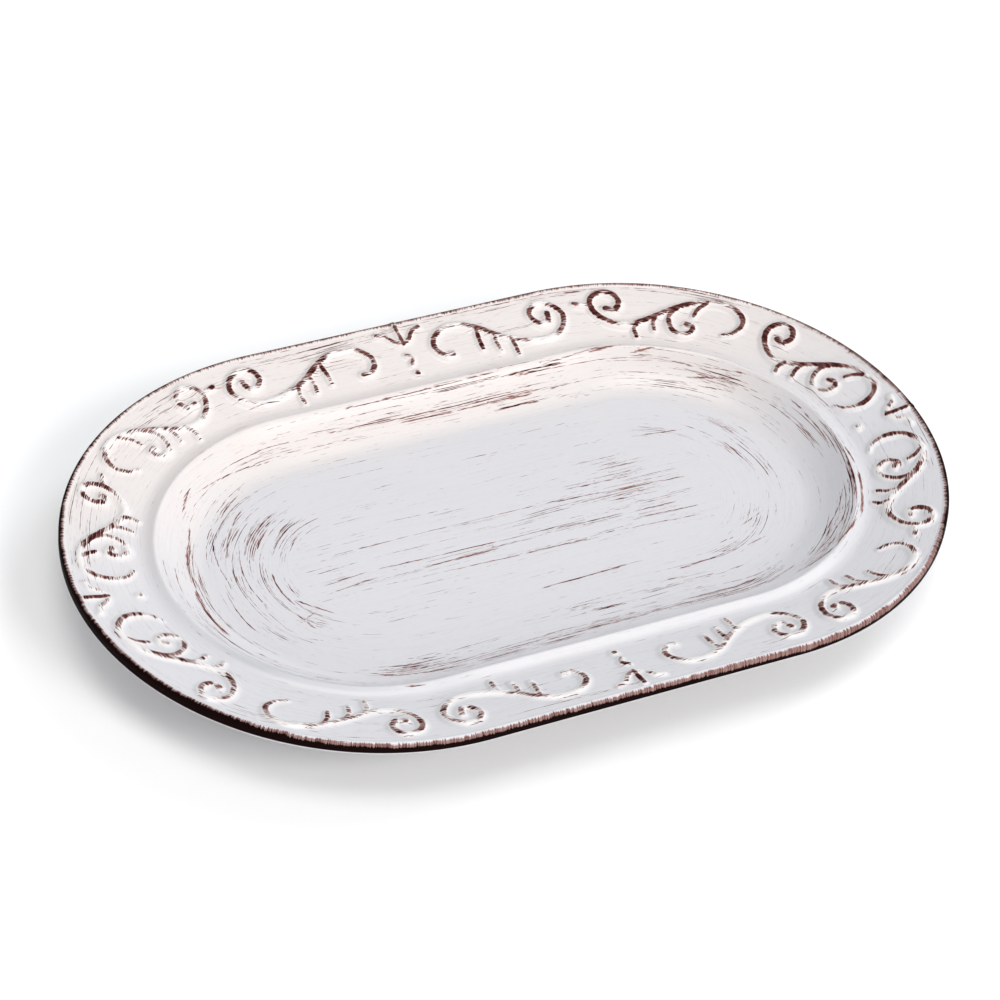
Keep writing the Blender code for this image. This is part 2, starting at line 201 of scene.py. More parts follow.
# Patches: (x, y, reach along the brush, reach across it, strength).
PATCHES = [
    # back wall
    (30, 90, 66, 3.4, 0.48), (40, 82, 80, 2.6, 0.48), (-30, 85, 60, 4, 0.42), (-90, 80, 30, 4, 0.38),
    (110, 82, 18, 4, 0.44), (62, 77, 40, 2.2, 0.4),
    # left wall and floor
    (-148, 10, 50, 2.6, 0.55), (-140, 36, 40, 3, 0.5), (-131, 58, 22, 3, 0.5), (-132, 10, 44, 4, 0.52),
    (-124, 34, 30, 4, 0.55), (-120, 6, 32, 4, 0.52), (-112, 36, 20, 4, 0.52), (-130, -30, 24, 4, 0.42),
    (-98, 30, 16, 4, 0.5), (-110, -6, 22, 3, 0.5), (-108, -24, 14, 4, 0.5), (-152, -30, 26, 4, 0.45),
    (-158, 0, 40, 3, 0.4), (-118, -52, 24, 4, 0.35), (-140, -50, 24, 5, 0.42), (-106, 60, 36, 5, 0.35),
    # middle of the floor
    (64, 15, 24, 5, 0.58), (66, 4, 24, 4, 0.62), (66, -6, 28, 4, 0.48), (72, -15, 24, 3.5, 0.42),
    (0, 10, 80, 2, 0.42), (-40, -7, 60, 1.8, 0.45), (-40, -12, 60, 2, 0.45), (20, -9, 50, 4, 0.42),
    (-84, -9, 16, 3.5, 0.45), (20, -18, 60, 2, 0.42), (30, 2, 50, 4, 0.36), (-70, 18, 30, 3, 0.28),
    (20, 50, 20, 3, 0.32), (58, 27, 18, 3, 0.42), (98, 38, 16, 3, 0.4),
    # right and front of the floor
    (128, 30, 18, 4, 0.5), (124, 12, 18, 3.5, 0.52), (134, 0, 24, 4, 0.42), (140, 56, 26, 4, 0.55),
    (90, -46, 34, 5, 0.46), (40, -60, 60, 5, 0.4), (110, -34, 20, 5, 0.42), (24, -42, 30, 1.6, 0.4),
    (118, 64, 26, 4, 0.38), (162, 6, 26, 1.8, 0.5),
    # front wall
    (-84, -70, 26, 5, 0.68), (-40, -77, 48, 4, 0.63), (20, -75, 60, 3.4, 0.6), (86, -72, 34, 4, 0.66),
    (-110, -76, 18, 4, 0.4), (-122, -66, 18, 5, 0.4),
    # front right wall, close under the verge
    (120, -74, 18, 3, 0.72), (142, -60, 22, 3.4, 0.75), (158, -36, 24, 3.4, 0.72), (130, -62, 24, 4, 0.6),
    (150, -44, 18, 3.6, 0.62), (165, -14, 26, 3, 0.66), (160, 10, 26, 4, 0.54), (154, 34, 22, 4, 0.46),
    # rim
    (94, 128, 14, 2, 0.6), (50, 130, 60, 3, 0.45), (-30, 128, 60, 4, 0.42), (-110, 118, 40, 4, 0.46),
    (150, 108, 34, 4, 0.45), (40, 117, 26, 2.4, 0.36), (-150, 98, 34, 5, 0.45), (-40, 118, 34, 2.6, 0.38),
    (-186, 66, 26, 5, 0.42), (203, -30, 22, 2, 0.48), (206, 14, 30, 2.4, 0.42), (186, 72, 26, 3, 0.42),
    (150, -116, 40, 3, 0.32), (60, -131, 50, 2, 0.34), (-196, 30, 30, 4, 0.4), (-160, -92, 40, 4, 0.34),
    (172, 24, 24, 2.4, 0.34), (-40, -128, 40, 2, 0.3),
]

# Lines: (x, y) to (x, y), width, strength. The first list is brushed straight, the second round with the rim.
STRAIGHT_LINES = [
    (-102, 9.6, -72, 9.8, 0.5, 0.6), (-74, 10, 20, 9.4, 0.5, 0.75), (20, 9.4, 96, 4.4, 0.55, 0.9),
    (52, 6.2, 80, 5.4, 0.9, 1), (-99, 0, -72, 2, 0.5, 0.7), (-72, 2, -22, 1.6, 0.45, 0.6),
    (-98, -8, -72, -5.6, 0.6, 0.9), (-72, -5.8, -8, -7.2, 0.6, 0.95), (-97, -13.4, -71, -10.6, 0.6, 0.8),
    (-52, -11.2, -8, -11.6, 0.9, 0.85), (-42, -17.4, 32, -20, 0.6, 0.9), (-82, -16.4, -42, -17.2, 0.4, 0.5),
    (-40, -25, -30, -25, 0.6, 0.7), (22, -8.6, 56, -9.2, 0.6, 0.8), (60, -10, 84, -10.4, 0.8, 0.9),
    (56, 22.2, 78, 21.8, 0.7, 0.9), (59, 25, 71, 25, 0.5, 0.8), (46, 29.8, 72, 29.4, 0.5, 0.7),
    (44, 18, 80, 16, 0.6, 0.7), (40, 14.6, 76, 13.4, 0.6, 0.7), (50, 0.8, 78, -0.6, 0.6, 0.8),
    (52, -3.4, 72, -4.2, 0.5, 0.7), (56, -14, 92, -16, 0.5, 0.7), (30, -18, 90, -22, 0.5, 0.6),
    (-46, 46, -39, 46, 0.5, 0.7), (-2, 51, 24, 50, 0.5, 0.6), (4, 47.6, 18, 47.4, 0.5, 0.6),
    (52, 59, 58, 59, 0.6, 0.8), (50, 42.4, 66, 41.6, 0.5, 0.7), (86, 39, 110, 35.6, 0.6, 0.85),
    (-8, -42.6, 44, -41.4, 0.6, 0.9), (58, -52.2, 84, -50.6, 0.7, 0.9), (47, -57, 60, -57, 0.6, 0.8),
    (81, -60.6, 92, -60, 0.6, 0.8), (9, -63, 17, -63, 0.6, 0.8), (84, -43, 99, -41, 0.6, 0.8),
    (96, -49, 112, -45, 0.6, 0.75), (-14, -58, 10, -59, 0.4, 0.5), (100, -36, 118, -29, 0.5, 0.7),
    (-114, -10, -100, -25, 0.7, 1), (-116, -18, -110, -34, 0.6, 0.95), (-117, -27, -104, -21, 0.5, 0.8),
    (-112, -26, -100, -34, 0.5, 0.8), (-118, -36, -109, -41, 0.6, 0.8), (-108, -36, -98, -42, 0.4, 0.6),
    (-96, -35, -90, -37, 0.5, 0.7), (70, 8.6, 96, 8, 0.4, 0.6), (0, -3, 40, -4.4, 0.4, 0.6),
]

ROUND_LINES = [
    # left
    (-151, 10, -149, -28, 1.5, 1), (-142, 40, -151, 8, 1.3, 1), (-130, 67, -140, 53, 1, 1),
    (-137, 50, -145, 28, 0.7, 0.9), (-86, 77, -132, 62, 0.6, 0.75), (-156, 22, -155, -34, 0.5, 0.7),
    (-109, 54, -130, 22, 0.7, 0.85), (-128, 44, -135, 8, 0.6, 0.8), (-104, 37, -116, 23, 0.9, 1),
    (-91, 39, -102, 31, 0.9, 1), (-92, 29, -101, 19, 0.6, 0.85), (-114, 10, -113, -16, 0.7, 0.85),
    (-130, 16, -130, -6, 0.6, 0.8), (-121, 30, -124, -14, 0.5, 0.75), (-138, 6, -134, -30, 0.5, 0.75),
    (-144, -36, -133, -52, 0.7, 0.7), (-106, 64, -124, 48, 0.5, 0.7), (-144, 24, -146, -10, 0.4, 0.6),
    (-100, 70, -140, 20, 0.45, 0.6), (-161, 24, -165, -8, 0.5, 0.6), (-127, -8, -118, -36, 0.45, 0.65),
    # back
    (56, 82, -58, 83.6, 0.5, 0.8), (54, 80.4, -20, 81, 0.7, 0.9), (56, 76.6, 28, 76.8, 0.7, 0.95),
    (36, 91.4, -44, 90.6, 0.5, 0.8), (101, 89.6, 85, 90.6, 1.1, 1), (119, 81.6, 103, 85, 0.8, 0.95),
    (84, 87.4, 40, 88.4, 0.5, 0.8), (80, 73.6, 70, 73.8, 0.6, 0.8), (-58, 83.6, -110, 76, 0.5, 0.7),
    (70, 92.6, 20, 92.8, 0.4, 0.7), (-30, 79, -90, 78, 0.4, 0.55), (110, 87.6, 60, 90.2, 0.5, 0.7),
    # right
    (126, 8, 122, 24, 0.7, 0.9), (132, 22, 122, 40, 0.8, 0.95), (133, -9, 133, 7, 0.6, 0.8),
    (163, -8, 161, 27, 0.6, 0.9), (147, 50, 126, 65, 0.8, 0.85), (152, 48, 133, 66, 0.5, 0.75),
    (143, 46, 128, 60, 0.5, 0.7), (138, 20, 134, 34, 0.5, 0.7), (166, -28, 167, -12, 1, 1),
    (150, -60, 165, -30, 1.1, 1), (128, -74, 148, -60, 1, 1), (104, -79.4, 130, -74, 1, 1),
    (120, -70, 152, -46, 0.7, 0.85), (132, -58, 156, -34, 0.6, 0.8), (110, -75, 136, -65, 0.6, 0.8),
    # front
    (-101, -66, -56, -78, 0.7, 0.9), (-99, -69, -60, -76, 0.6, 0.8), (-56, -78, -28, -77.4, 0.9, 0.9),
    (-92, -66, -50, -74, 0.5, 0.7), (-20, -75.4, 32, -75.6, 0.7, 0.8), (30, -74, 112, -70, 0.6, 0.85),
    (-40, -73.6, 60, -73, 0.5, 0.75), (40, -77, 100, -75.4, 0.5, 0.75), (-60, -80, 20, -80, 0.4, 0.6),
    (-97, -91, -87, -93, 1, 1), (-77, -89.6, -73, -89.8, 0.9, 0.9), (-84, -62, -50, -69, 0.4, 0.6),
    (-20, -70.6, 40, -70.6, 0.4, 0.6), (60, -67, 110, -63, 0.5, 0.7),
    # rim
    (102, 127.4, 86, 129.4, 1, 1), (84, 131, 20, 131.4, 0.6, 0.75), (10, 129, -60, 129.4, 0.5, 0.6),
    (46, 117.6, 34, 117.8, 0.6, 0.8), (140, 114, 112, 125, 0.5, 0.7), (-110, 121, -140, 108, 0.5, 0.6),
    (203, -42, 206, -24, 0.7, 0.8), (193, -52, 198, -40, 0.5, 0.6), (-120, 113, -160, 88, 0.4, 0.5),
    (-30, 124, -90, 123.4, 0.4, 0.5), (-40, -128.6, 10, -129, 0.4, 0.5), (60, -126, 84, -126, 0.5, 0.7),
    (-10, -118.6, 10, -118.6, 0.4, 0.6),
]
LINE_REACH = 3.0
LINE_TAPER = 6.0
LINE_PART = 2.5
LINE_TIP = 0.35


def patches_at(x, y):
    """How worn the white glaze is, from 0 to 1, by broad patches."""
    passed, length = ring_place(x, y)
    inset = inset_of(x, y)
    worn = np.zeros_like(x)
    for at_x, at_y, along, across, strength in PATCHES:
        spot = np.array([[at_x], [at_y]], float)
        spot_passed, spot_length = ring_place(*spot)
        away = passed / length - spot_passed / spot_length
        away = (away + 0.5) % 1 - 0.5
        far = (away * length / along) ** 2 + ((inset - inset_of(*spot)) / across) ** 2
        worn = np.maximum(worn, strength * np.exp(-far))
    return worn


def lines_at(x, y):
    """For each point: signed distance to the nearest line, that line's width, and its strength there."""
    distance = np.full_like(x, LINE_REACH)
    widths = np.ones_like(x)
    strengths = np.zeros_like(x)
    for lines, is_round in ((STRAIGHT_LINES, False), (ROUND_LINES, True)):
        for x0, y0, x1, y1, width, strength in lines:
            ends_x, ends_y = np.array([x0, x1], float), np.array([y0, y1], float)
            length = np.hypot(x1 - x0, y1 - y0)
            part = np.linspace(0, 1, max(6, int(length / LINE_PART)))
            if is_round:
                runs, insets = run_of(ends_x, ends_y), inset_of(ends_x, ends_y)
                turn = (runs[1] - runs[0] + EDGE_RUN / 2) % EDGE_RUN - EDGE_RUN / 2
                line_x, line_y = place(runs[0] + turn * part, insets[0] + (insets[1] - insets[0]) * part)
            else:
                line_x, line_y = x0 + (x1 - x0) * part, y0 + (y1 - y0) * part
            near = (x > line_x.min() - LINE_REACH) & (x < line_x.max() + LINE_REACH)
            near &= (y > line_y.min() - LINE_REACH) & (y < line_y.max() + LINE_REACH)
            near = np.nonzero(near)[0]
            if not len(near):
                continue
            step_x, step_y = np.diff(line_x), np.diff(line_y)
            from_x = x[near][:, None] - line_x[None, :-1]
            from_y = y[near][:, None] - line_y[None, :-1]
            held = np.clip((from_x * step_x + from_y * step_y) / (step_x**2 + step_y**2), 0, 1)
            away = np.hypot(from_x - held * step_x, from_y - held * step_y)
            nearest = np.argmin(away, axis=1)
            every = np.arange(len(near))
            away = away[every, nearest]
            turned = step_x[nearest] * from_y[every, nearest] - step_y[nearest] * from_x[every, nearest]
            travelled = (nearest + held[every, nearest]) / (len(part) - 1)
            taper = smooth(np.minimum(travelled, 1 - travelled) * length / LINE_TAPER)
            closer = away < np.abs(distance[near])
            here = near[closer]
            distance[here] = np.where(turned < 0, -away, away)[closer]
            widths[here] = width
            strengths[here] = (strength * (LINE_TIP + (1 - LINE_TIP) * taper))[closer]
    return np.stack([distance, widths, strengths], -1)


# ---------------- meshes


def add_piece(name, points, faces, material, nodes, attributes=None):
    """A mesh object from points in millimetres; attributes are one value or three for each point."""
    mesh = bpy.data.meshes.new(name)
    mesh.from_pydata((points * MM).tolist(), [], faces)
    for key, values in (attributes or {}).items():
        kind = "FLOAT" if values.ndim == 1 else "FLOAT_VECTOR"
        layer = mesh.attributes.new(key, kind, "POINT")
        layer.data.foreach_set("value" if values.ndim == 1 else "vector", values.astype(np.float32).ravel())
    bm = bmesh.new()
    bm.from_mesh(mesh)
    bmesh.ops.remove_doubles(bm, verts=bm.verts, dist=1e-6)
    bmesh.ops.recalc_face_normals(bm, faces=bm.faces)
    bm.to_mesh(mesh)
    bm.free()
    mesh.shade_smooth()
    mesh.set_sharp_from_angle(angle=SHARP_ANGLE)
    mesh.materials.append(material)
    obj = bpy.data.objects.new(name, mesh)
    bpy.context.scene.collection.objects.link(obj)
    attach(obj, BODY)
    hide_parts(*nodes)
    return obj


def glaze_attributes(x, y, across, brown=None):
    """What the glaze reads at each point: brush and edge coordinates, wear, lines and how bare a ridge is."""
    passed, length = ring_place(x, y)
    return {
        "brush": round_places(passed / length, length, inset_of(x, y)),
        "edge": round_places(run_of(x, y) / EDGE_RUN, EDGE_RUN, across),
        "wear": patches_at(x, y),
        "line": lines_at(x, y),
        "brown": np.zeros_like(x) if brown is None else brown,
    }


def sweep(section):
    """Points and faces of a closed section (inset, height) taken round the racetrack."""
    runs = np.arange(COLUMNS) * EDGE_RUN / COLUMNS
    rings = []
    for inset, height in section:
        x, y = place(runs, np.full_like(runs, inset))
        rings.append(np.stack([x, y, np.full_like(x, height)], -1))
    points = np.concatenate(rings)
    faces = []
    count = len(section)
    for ring in range(count):
        first = ring * COLUMNS
        second = (ring + 1) % count * COLUMNS
        for column in range(COLUMNS):
            after = (column + 1) % COLUMNS
            faces.append((first + column, first + after, second + after, second + column))
    return points, faces


def sway(x, y):
    """The slow unevenness of hand-finished clay, in millimetres; the lip has none."""
    wide = 0.10 * np.sin(x / 31 + 0.4) * np.cos(y / 23 + 1.1)
    narrow = 0.06 * np.sin((x + 1.7 * y) / 17 + 2.0)
    return (wide + narrow) * smooth((inset_of(x, y) - 4) / 10)


def lip_nose(skin, steps):
    """Section of the lip's rounded nose under a skin, from the upper face to the under face."""
    radius = LIP_ROUND - SKIN_EASE * skin
    low = LIP_LOW + skin + radius
    high = LIP_TOP - skin - radius
    turns = np.linspace(pi / 2, pi, steps)
    above = [(skin + radius + radius * cos(t), high + radius * sin(t)) for t in turns]
    below = [(skin + radius + radius * cos(t), low + radius * sin(t)) for t in turns + pi / 2]
    return [(BAND_REACH, rim_line(BAND_REACH) - skin)] + above + below + [(BAND_REACH, LIP_LOW + skin)]


def build_shell(material):
    upper = np.concatenate([np.linspace(*rings) for rings in UPPER_RINGS])
    lower = np.concatenate([np.linspace(*rings) for rings in UNDER_RINGS])
    nose = lip_nose(SHELL_SKIN, 4)
    section = list(zip(upper, upper_height(upper))) + list(zip(lower, under_height(lower)))
    section += nose[::-1][1:-1]
    points, faces = sweep(section)
    # Both faces end in a ring of no width along the middle, and the strip between these two is left out.
    last_ring = len(upper) - 1
    faces = [face for face in faces if face[0] // COLUMNS != last_ring]
    x, y = points[:, 0], points[:, 1]
    points[:, 2] += sway(x, y) * smooth((points[:, 2] - FOOT_TOP - 1) / 4)
    is_below = np.repeat(np.arange(len(section)) >= len(upper), COLUMNS)
    attributes = glaze_attributes(x, y, np.where(is_below, -1, 1) * (inset_of(x, y) + NOSE_WRAP))
    return add_piece("glazed_shell", points, faces, material, ["platter_body"], attributes)


def build_band(material):
    """The lip: a skin round the nose of the rim, from its upper face to its under face."""
    outside = lip_nose(0, 9)
    inside = lip_nose(BAND_SKIN, 5)
    fine = []
    for start, end in zip(np.array(outside), np.array(outside)[1:]):
        count = max(1, int(np.hypot(*(end - start)) / BAND_STEP))
        fine += [start + (end - start) * part for part in np.arange(count) / count]
    fine = np.array(fine + [outside[-1]])
    travelled = np.concatenate([[0], np.cumsum(np.hypot(*np.diff(fine, axis=0).T))])
    over_middle = fine[:, 1] - (LIP_TOP + LIP_LOW) / 2
    middle = np.interp(0, over_middle[::-1], travelled[::-1])
    points, faces = sweep(fine.tolist() + inside[::-1])
    x, y = points[:, 0], points[:, 1]
    across = np.repeat(np.concatenate([middle - travelled, np.zeros(len(inside))]), COLUMNS)
    attributes = glaze_attributes(x, y, across)
    return add_piece("brown_lip", points, faces, material, ["edge_band"], attributes)


def build_foot(material):
    """The foot ring: a rounded rim of bare clay with a fillet up to the shell."""
    outer, inner = FOOT_OUTER, FOOT_OUTER + FOOT_WIDTH
    top = float(under_height(outer + 2)) + 0.3
    section = []
    for middle, start in ((outer + FOOT_ROUND, pi), (inner - FOOT_ROUND, 3 * pi / 2)):
        for turn in np.linspace(start, start + pi / 2, 6):
            section.append((middle + FOOT_ROUND * cos(turn), FOOT_ROUND + FOOT_ROUND * sin(turn)))
    section += [(inner, FOOT_TOP - 1.4), (inner + 0.35, FOOT_TOP - 0.5), (inner + 1.2, top)]
    section += [(outer - 1.2, top), (outer - 0.35, FOOT_TOP - 0.5), (outer, FOOT_TOP - 1.4)]
    points, faces = sweep(section)
    return add_piece("bare_foot_ring", points, faces, material, ["foot_ring"])


# ---------------- relief
# The drawings are those of the solids: (along, inset) on a ribbon whose ends are 0 and SPAN along. A stroke's
# ends are its size at its start and at its end, and in between its size is 1.

SPAN = 80
SCROLL_ENDS = (0.6, 1.15)
CURL_ENDS = (0.8, 1.15)
LEAF_ENDS = (0.8, 0.95)
PETAL_ENDS = (0.7, 1.0)
DROP_ENDS = (0.8, 0.9)
END_SCROLL = {
    "ribbon": [
        (10, 31), (5.5, 28.6), (2.8, 24.4), (2.2, 19.2), (4.2, 13.8), (8.6, 9.8), (14, 8.2), (20.5, 8.7),
        (27.5, 10.6), (34, 14.2), (40.5, 18.8), (47.5, 23.4), (55, 26.8), (63, 28.2), (70, 26.2),
        (75.4, 21.4), (77.6, 15.2), (75.4, 9.6), (70.2, 7.2), (65.4, 9.2), (63.6, 13.6), (66, 17.6), (70, 17),
    ],
    "leaves": [
        [(18.5, 9.4), (21.6, 12), (24, 16)],
        [(47, 23.4), (48.4, 28), (47.2, 32.4)],
        [(57, 27.6), (59, 31), (58, 34.2)],
    ],
    "hanging_curl": [
        (32.5, 13.4), (37, 17.8), (38, 23.2), (35.4, 28.4), (30, 30.8), (24.6, 29.2), (22.2, 25),
        (24.6, 21.6), (28.4, 23),
    ],
}
SHOULDER_SCROLL = {
    "ribbon": [
        (9.6, 25.4), (4.8, 22.4), (2.2, 17), (4.4, 11.6), (10, 8.2), (17, 7.6), (24, 9.2), (31, 12.2),
        (38, 16.2), (45, 20.6), (52, 24.4), (60, 26.8), (68, 25.8), (74.8, 21.2), (77.7, 15), (75.6, 9.6),
        (70, 7.4), (65, 9.6), (63.4, 14), (66, 18), (70.2, 17.4),
    ],
    "leaves": [
        [(21.5, 9.2), (25, 13.6), (26.4, 18)],
        [(45, 20.6), (46.6, 25), (45.8, 29.6)],
        [(54.4, 25.4), (57, 29.4), (56, 33.8)],
    ],
    "hanging_curl": [
        (33, 13.4), (37.6, 18), (38.6, 23.4), (36, 28.6), (31, 30.4), (26.4, 28.4), (25.8, 24.8), (29.2, 24),
    ],
}
FRONT_SHOULDER_SCROLL = {
    "ribbon": SHOULDER_SCROLL["ribbon"],
    "leaves": [
        [(31, 12.4), (32.4, 17.4), (31.6, 22.4)],
        [(41, 18.2), (42.6, 23.6), (41.6, 28.6)],
        [(50, 23.6), (51.8, 28.6), (50.6, 33.4)],
    ],
}
SIDE_SCROLL = {
    "ribbon": [
        (11, 15.8), (12.8, 20.2), (17.6, 20.2), (20.8, 15.6), (18.6, 11), (12.6, 9.2), (6, 12), (2.2, 17.6),
        (4.2, 23.4), (10, 27.8), (18, 29.6), (27.6, 28.4), (36.2, 25), (43.6, 20.4), (50, 15.4), (57.6, 11.6),
        (65, 10.6), (72, 12.6), (76.8, 17.2), (77.2, 22.4), (73.6, 26.4), (69.8, 26.4),
    ],
    "leaves": [
        [(36.6, 24.8), (36, 29.8), (36.4, 34.2)],
        [(44, 20.2), (44.8, 25.6), (44.4, 30)],
        [(51.6, 14.6), (52.8, 21), (53.2, 27)],
    ],
    "ends": (1.1, 1.05),
}
SPROUT = [(76.4, 15.8), (81, 14), (85.4, 12.8)]

# (place, drawing, start, span, has a sprout, how bare of white)
QUARTERS = {
    "right_back": [
        ("end", END_SCROLL, 7.5, 80.5, False, 1.05),
        ("shoulder", SHOULDER_SCROLL, 97, 91, True, 1.2),
        ("side", SIDE_SCROLL, 200.5, 75, False, 0.95),
    ],
    "left_back": [
        ("end", END_SCROLL, 13.5, 75, True, 0.78),
        ("shoulder", SHOULDER_SCROLL, 99.5, 81.5, True, 0.75),
        ("side", SIDE_SCROLL, 191.5, 80, False, 0.9),
    ],
    "left_front": [
        ("end", END_SCROLL, 11.5, 80.5, False, 0.75),
        ("shoulder", FRONT_SHOULDER_SCROLL, 105.5, 80.5, False, 0.72),
        ("side", SIDE_SCROLL, 194, 74, False, 0.70),
    ],
    "right_front": [
        ("end", END_SCROLL, 17.5, 80.5, True, 0.95),
        ("shoulder", FRONT_SHOULDER_SCROLL, 110.5, 78, False, 0.8),
        ("side", SIDE_SCROLL, 197.5, 73, False, 0.72),
    ],
}

PETALS = [
    [(0, 15), (0, 9.6), (0, 4.2)],
    [(0, 15), (-4, 12.4), (-7, 8.6), (-11, 7)],
    [(0, 15), (4, 12.4), (7, 8.6), (11, 7)],
]
STROKE = [(1.6, 20.8), (-1, 23.2), (0.6, 26.8)]

# (quarter, place along it, inset of the dot, has a stroke, how bare each petal is)
PALMETTES = {
    "right": ("right_front", 5, 29.5, False, (1.05, 0.42, 0.3)),
    "left": ("left_back", 2, 29.5, False, (1.1, 0.55, 0.4)),
    "back": ("right_back", QUARTER, 32, True, (1.05, 1.05, 1.0)),
    "front": ("left_front", QUARTER - 0.5, 32, True, (0.85, 0.72, 0.4)),
}
DROP_BARENESS = 0.85

# Strokes: reach is the half width and rise the height of a stroke's swelling, in millimetres.
RIBBON_REACH = 2.25
RIBBON_RISE = 1.75
CURL_REACH = RIBBON_REACH * 0.94
LEAF_REACH = 1.8
LEAF_RISE = 1.5
DOT_REACH = 2.3
# A stroke fades by the power SOFTNESS and is gone at TAIL reaches from its line. Strokes blend by BLEND.
TAIL = 2.2
SOFTNESS = 2.4
BLEND = 4
# The sprig's upper face starts SINK under the rim's face, and its bed lies BED under it.
SINK = 0.03
BED = 1.2
# A ridge is barest on the side that faces LEE, where it crosses the brush, and at its tip. Its outward flank
# shows a narrow brown line too, partly bare glaze and partly painted shade, and the inner part of the rim is
# better covered.
LEE = (-0.8, -0.6)
TIP_REACH = 2.5
TIP_BARE = 0.85
DOT_CROSSED = 0.7
FLANK_BROWN_AND_SHADE = 0.62
INNER_COVER = 0.22
STROKE_STEP = 0.5
NUDGE = 0.05
PITCH = 0.45


def quarter_run(quarter, along):
    """Run along the whole edge of a place in a quarter, counted from the middle of that quarter's end."""
    return {
        "right_back": along,
        "left_back": EDGE_RUN / 2 - along,
        "left_front": EDGE_RUN / 2 + along,
        "right_front": EDGE_RUN - along,
    }[quarter]


def smooth_line(points):
    """Points about STROKE_STEP apart on a Catmull-Rom curve through the given ones."""
    points = np.array(points, float)
    ends = np.concatenate([[2 * points[0] - points[1]], points, [2 * points[-1] - points[-2]]])
    t = np.linspace(0, 1, 24, endpoint=False)[:, None]
    fine = [
        0.5 * (2 * b + (c - a) * t + (2 * a - 5 * b + 4 * c - d) * t**2 + (3 * b - a - 3 * c + d) * t**3)
        for a, b, c, d in zip(ends, ends[1:], ends[2:], ends[3:])
    ]
    fine = np.concatenate(fine + [points[-1:]])
    passed = np.concatenate([[0], np.cumsum(np.hypot(*np.diff(fine, axis=0).T))])
    count = max(3, int(passed[-1] / STROKE_STEP))
    even = np.linspace(0, passed[-1], count)
    return np.stack([np.interp(even, passed, fine[:, 0]), np.interp(even, passed, fine[:, 1])], -1)


def stroke_on_rim(quarter, start, scale, drawing, reach, rise, bareness, ends):
    """A stroke in plan: its line, its reach and rise at each point, and its bareness."""
    along = [start + a * scale for a, _ in drawing]
    inset = [i for _, i in drawing]
    line = smooth_line(list(zip(along, inset)))
    x, y = place(quarter_run(quarter, line[:, 0]), line[:, 1])
    part = np.linspace(0, 1, len(line))
    near = ends[0] + (1 - ends[0]) * smooth(part / 0.12)
    far = ends[1] + (1 - ends[1]) * smooth((1 - part) / 0.14)
    size = near * far
    return np.stack([x, y], -1), reach * size, rise * np.minimum(0.4 + 0.6 * size, 1), bareness


def relief_field(x, y, strokes):
    """(height, how bare of white) at each plan point; the brush bares what runs across it."""
    inset = inset_of(x, y)
    inward_x = (inset_of(x + NUDGE, y) - inset) / NUDGE
    inward_y = (inset_of(x, y + NUDGE) - inset) / NUDGE
    total = np.zeros_like(x)
    bare = np.zeros_like(x)
    for line, reach, rise, bareness in strokes:
        heading = np.gradient(line, axis=0) if len(line) > 1 else np.array([[0.0, 0.0]])
        heading = heading / np.maximum(np.hypot(*heading.T), 1e-9)[:, None]
        away_x, away_y = x[:, None] - line[None, :, 0], y[:, None] - line[None, :, 1]
        away = np.hypot(away_x, away_y)
        nearest = np.argmin(away, axis=1)
        every = np.arange(len(x))
        distance = away[every, nearest]
        height = np.exp(-((distance / reach[nearest]) ** SOFTNESS))
        across = np.abs(heading[nearest, 0] * inward_x + heading[nearest, 1] * inward_y)
        if len(line) == 1:
            across = np.full_like(x, DOT_CROSSED)
        outward = -(away_x[every, nearest] * inward_x + away_y[every, nearest] * inward_y) / reach[nearest]
        lee = (away_x[every, nearest] * LEE[0] + away_y[every, nearest] * LEE[1]) / reach[nearest]
        tip = np.exp(-(((len(line) - 1 - nearest) * STROKE_STEP / TIP_REACH) ** 2))
        crossed = np.maximum(smooth((across - 0.12) / 0.6), TIP_BARE * tip)
        along = 0.25 + 0.6 * max(0, bareness - 0.85)
        crest = smooth((0.85 - distance / reach[nearest]) / 0.5) * (along + (1 - along) * crossed)
        crest *= 0.95 + 0.25 * np.clip(lee, -1, 1)
        # Along the outward flank: a narrow brown line, partly bare glaze and partly painted shade.
        flank = FLANK_BROWN_AND_SHADE * np.exp(-(((outward - 0.85) / 0.2) ** 2)) * (1 - across)
        bare = np.maximum(bare, np.maximum(crest, flank) * smooth(height / 0.15) * bareness)
        total += (rise[nearest] * height) ** BLEND
    inner = 1 - INNER_COVER * smooth((inset - 17) / 9)
    return total ** (1 / BLEND), bare * inner


